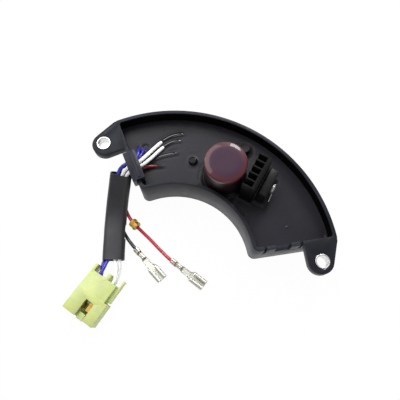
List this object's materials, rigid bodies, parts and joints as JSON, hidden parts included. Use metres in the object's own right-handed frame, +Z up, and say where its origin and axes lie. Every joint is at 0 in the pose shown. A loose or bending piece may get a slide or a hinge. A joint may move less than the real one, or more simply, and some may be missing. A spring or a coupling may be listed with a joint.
{
  "type": "automatic voltage regulator",
  "caption": "Open C-shaped tray with two bushed ears, potted circuit, upright capacitor and heat sink, and sleeved leads ending in a plug and spade terminals.",
  "frame": {"origin": "middle of the tray's own box on its flat back, without the leads and what is on them", "axes": "+X from the left ear to the right ear, +Y towards the outer arc, +Z up out of the open tray"},
  "size_m": [0.1396, 0.1299, 0.0355],
  "materials": {
    "black_nylon": "satin moulded black",
    "plated_steel": "bright zinc plate",
    "black_potting": "glossy poured resin",
    "green_laminate": "solder mask",
    "bare_aluminium": "drawn",
    "brown_shrink_film": "glossy shrink film",
    "black_anodised": "black anodised",
    "black_epoxy": "moulded epoxy",
    "grey_silicone_pad": "matt",
    "white_cement": "matt ceramic cement",
    "tan_lacquer": "lacquered",
    "blue_pvc": "smooth insulation",
    "white_pvc": "smooth insulation",
    "red_pvc": "smooth insulation",
    "black_pvc": "smooth insulation",
    "grey_black_vinyl": "soft vinyl tube",
    "pale_yellow_nylon": "satin moulded",
    "brass": "stamped sheet",
    "tin_plate": "tinned brass sheet",
    "amber_nylon": "translucent collar"
  },
  "bodies": {
    "root": {"housing": "black_nylon", "left_bush": "plated_steel", "right_bush": "plated_steel", "wire_clamp": "black_nylon", "potting_compound": "black_potting", "circuit_board": "green_laminate", "capacitor_can": "bare_aluminium", "capacitor_film": "brown_shrink_film", "heat_sink": "black_anodised", "power_transistor": "black_epoxy", "insulating_pad": "grey_silicone_pad", "transistor_screw": "plated_steel", "small_capacitor": "brown_shrink_film", "filter_capacitor": "black_epoxy", "bridge_rectifier": "black_epoxy", "power_resistor": "white_cement", "film_capacitor": "tan_lacquer", "voltage_trimmer": "blue_pvc", "rectifier_diode_1": "black_epoxy", "rectifier_diode_2": "black_epoxy", "gate_resistor_1": "tan_lacquer", "gate_resistor_2": "tan_lacquer", "signal_transistor_1": "black_epoxy", "signal_transistor_2": "black_epoxy", "blue_lead_a": "blue_pvc", "blue_lead_b": "blue_pvc", "white_lead_a": "white_pvc", "white_lead_b": "white_pvc", "black_lead": "black_pvc", "red_lead": "red_pvc", "wire_sleeve": "grey_black_vinyl", "marker_ring": "amber_nylon", "red_lead_spade": "tin_plate", "black_lead_spade": "tin_plate", "plug_housing": "pale_yellow_nylon", "plug_contact_left_lower": "brass", "plug_contact_left_upper": "brass", "plug_contact_right_lower": "brass", "plug_contact_right_upper": "brass"}
  },
  "joints": []
}
